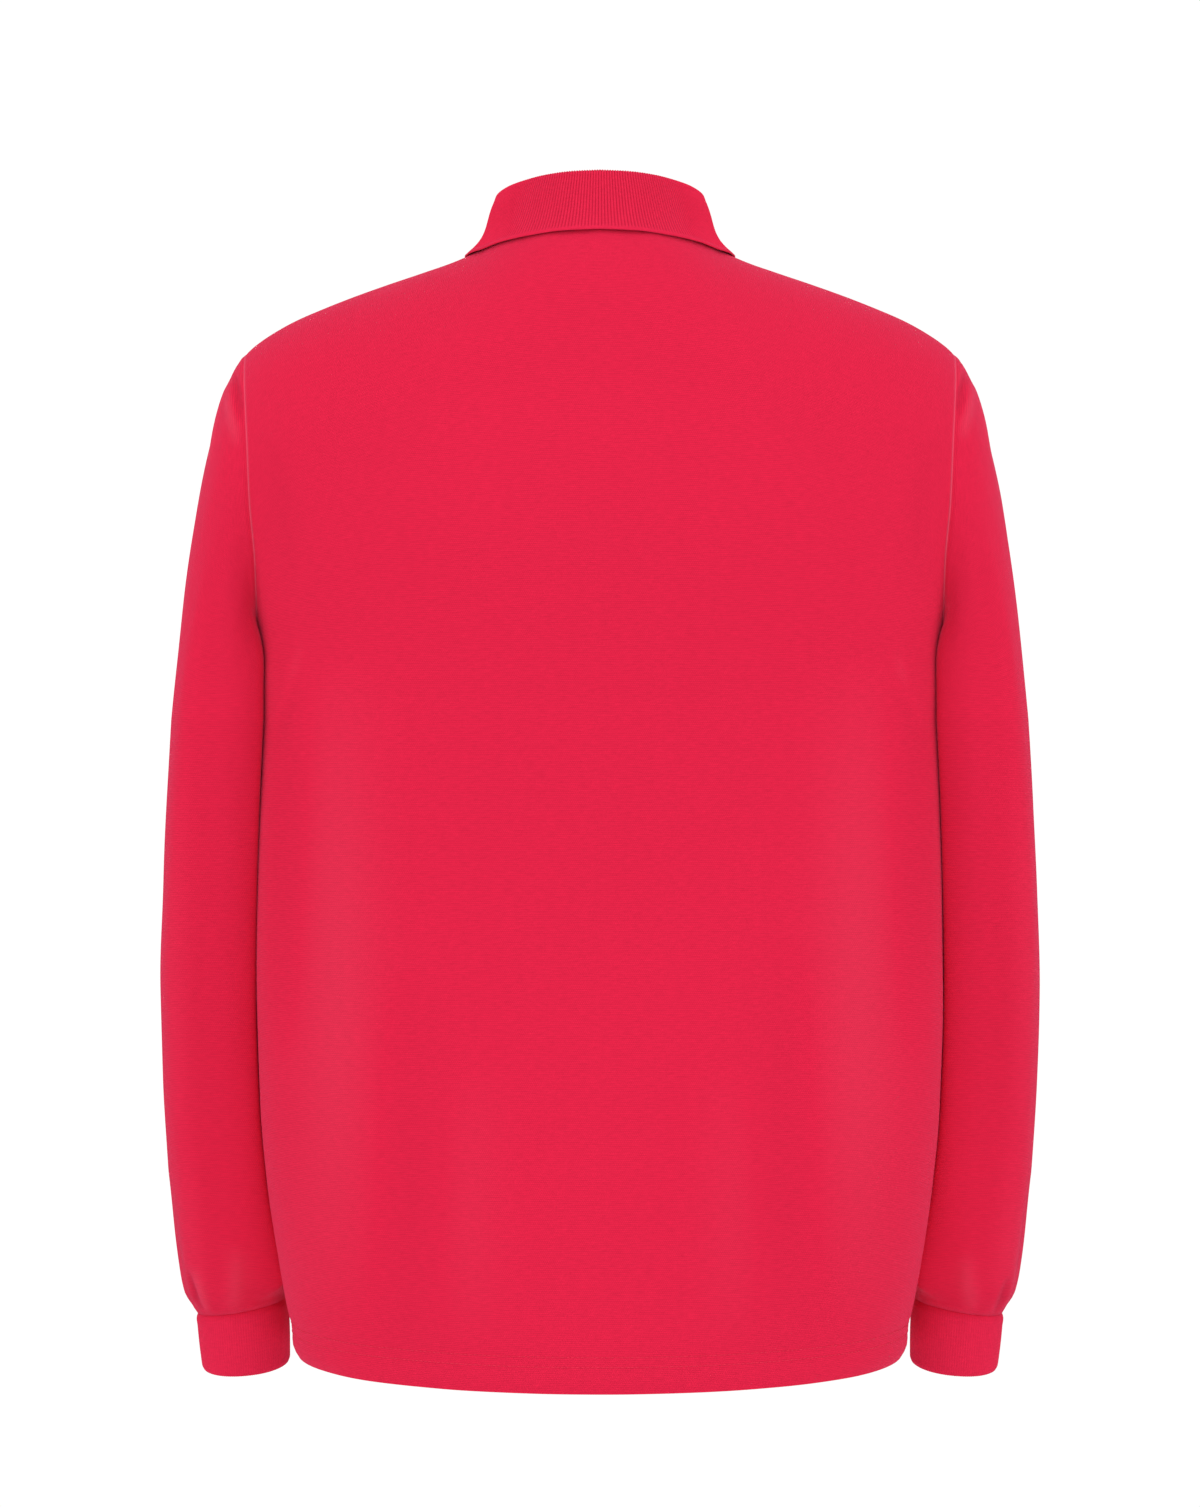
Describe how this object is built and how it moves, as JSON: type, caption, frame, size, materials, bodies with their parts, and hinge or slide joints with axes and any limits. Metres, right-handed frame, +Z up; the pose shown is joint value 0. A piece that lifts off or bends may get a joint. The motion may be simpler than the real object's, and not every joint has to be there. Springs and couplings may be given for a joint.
{
  "type": "long sleeve polo shirt",
  "caption": "Long sleeve polo shirt in knitted cotton, filled out as worn with no wearer, with a folded rib collar, buttoned placket, rib cuffs and an even hem.",
  "frame": {"origin": "middle of the neck in the plane of the shoulder seams, level with the tops of the shoulder seams, where the wearer's shoulders hold the shirt", "axes": "+Z up, +X towards the shirt's own left sleeve, -Y out of the front and +Y out of the back"},
  "size_m": [0.5708, 0.2884, 0.7725],
  "materials": {
    "pique": "matte red cotton pique knit",
    "rib": "matte red cotton rib knit",
    "button": "dyed-to-match polyester button, soft gloss"
  },
  "bodies": {
    "root": {"back_panel": "pique", "front_panel": "pique", "placket_under": "pique", "placket_upper": "pique", "button_top": "button", "button_middle": "button", "button_bottom": "button", "sleeve_left": "pique", "sleeve_right": "pique", "cuff_left": "rib", "cuff_right": "rib", "collar": "rib"}
  },
  "joints": []
}
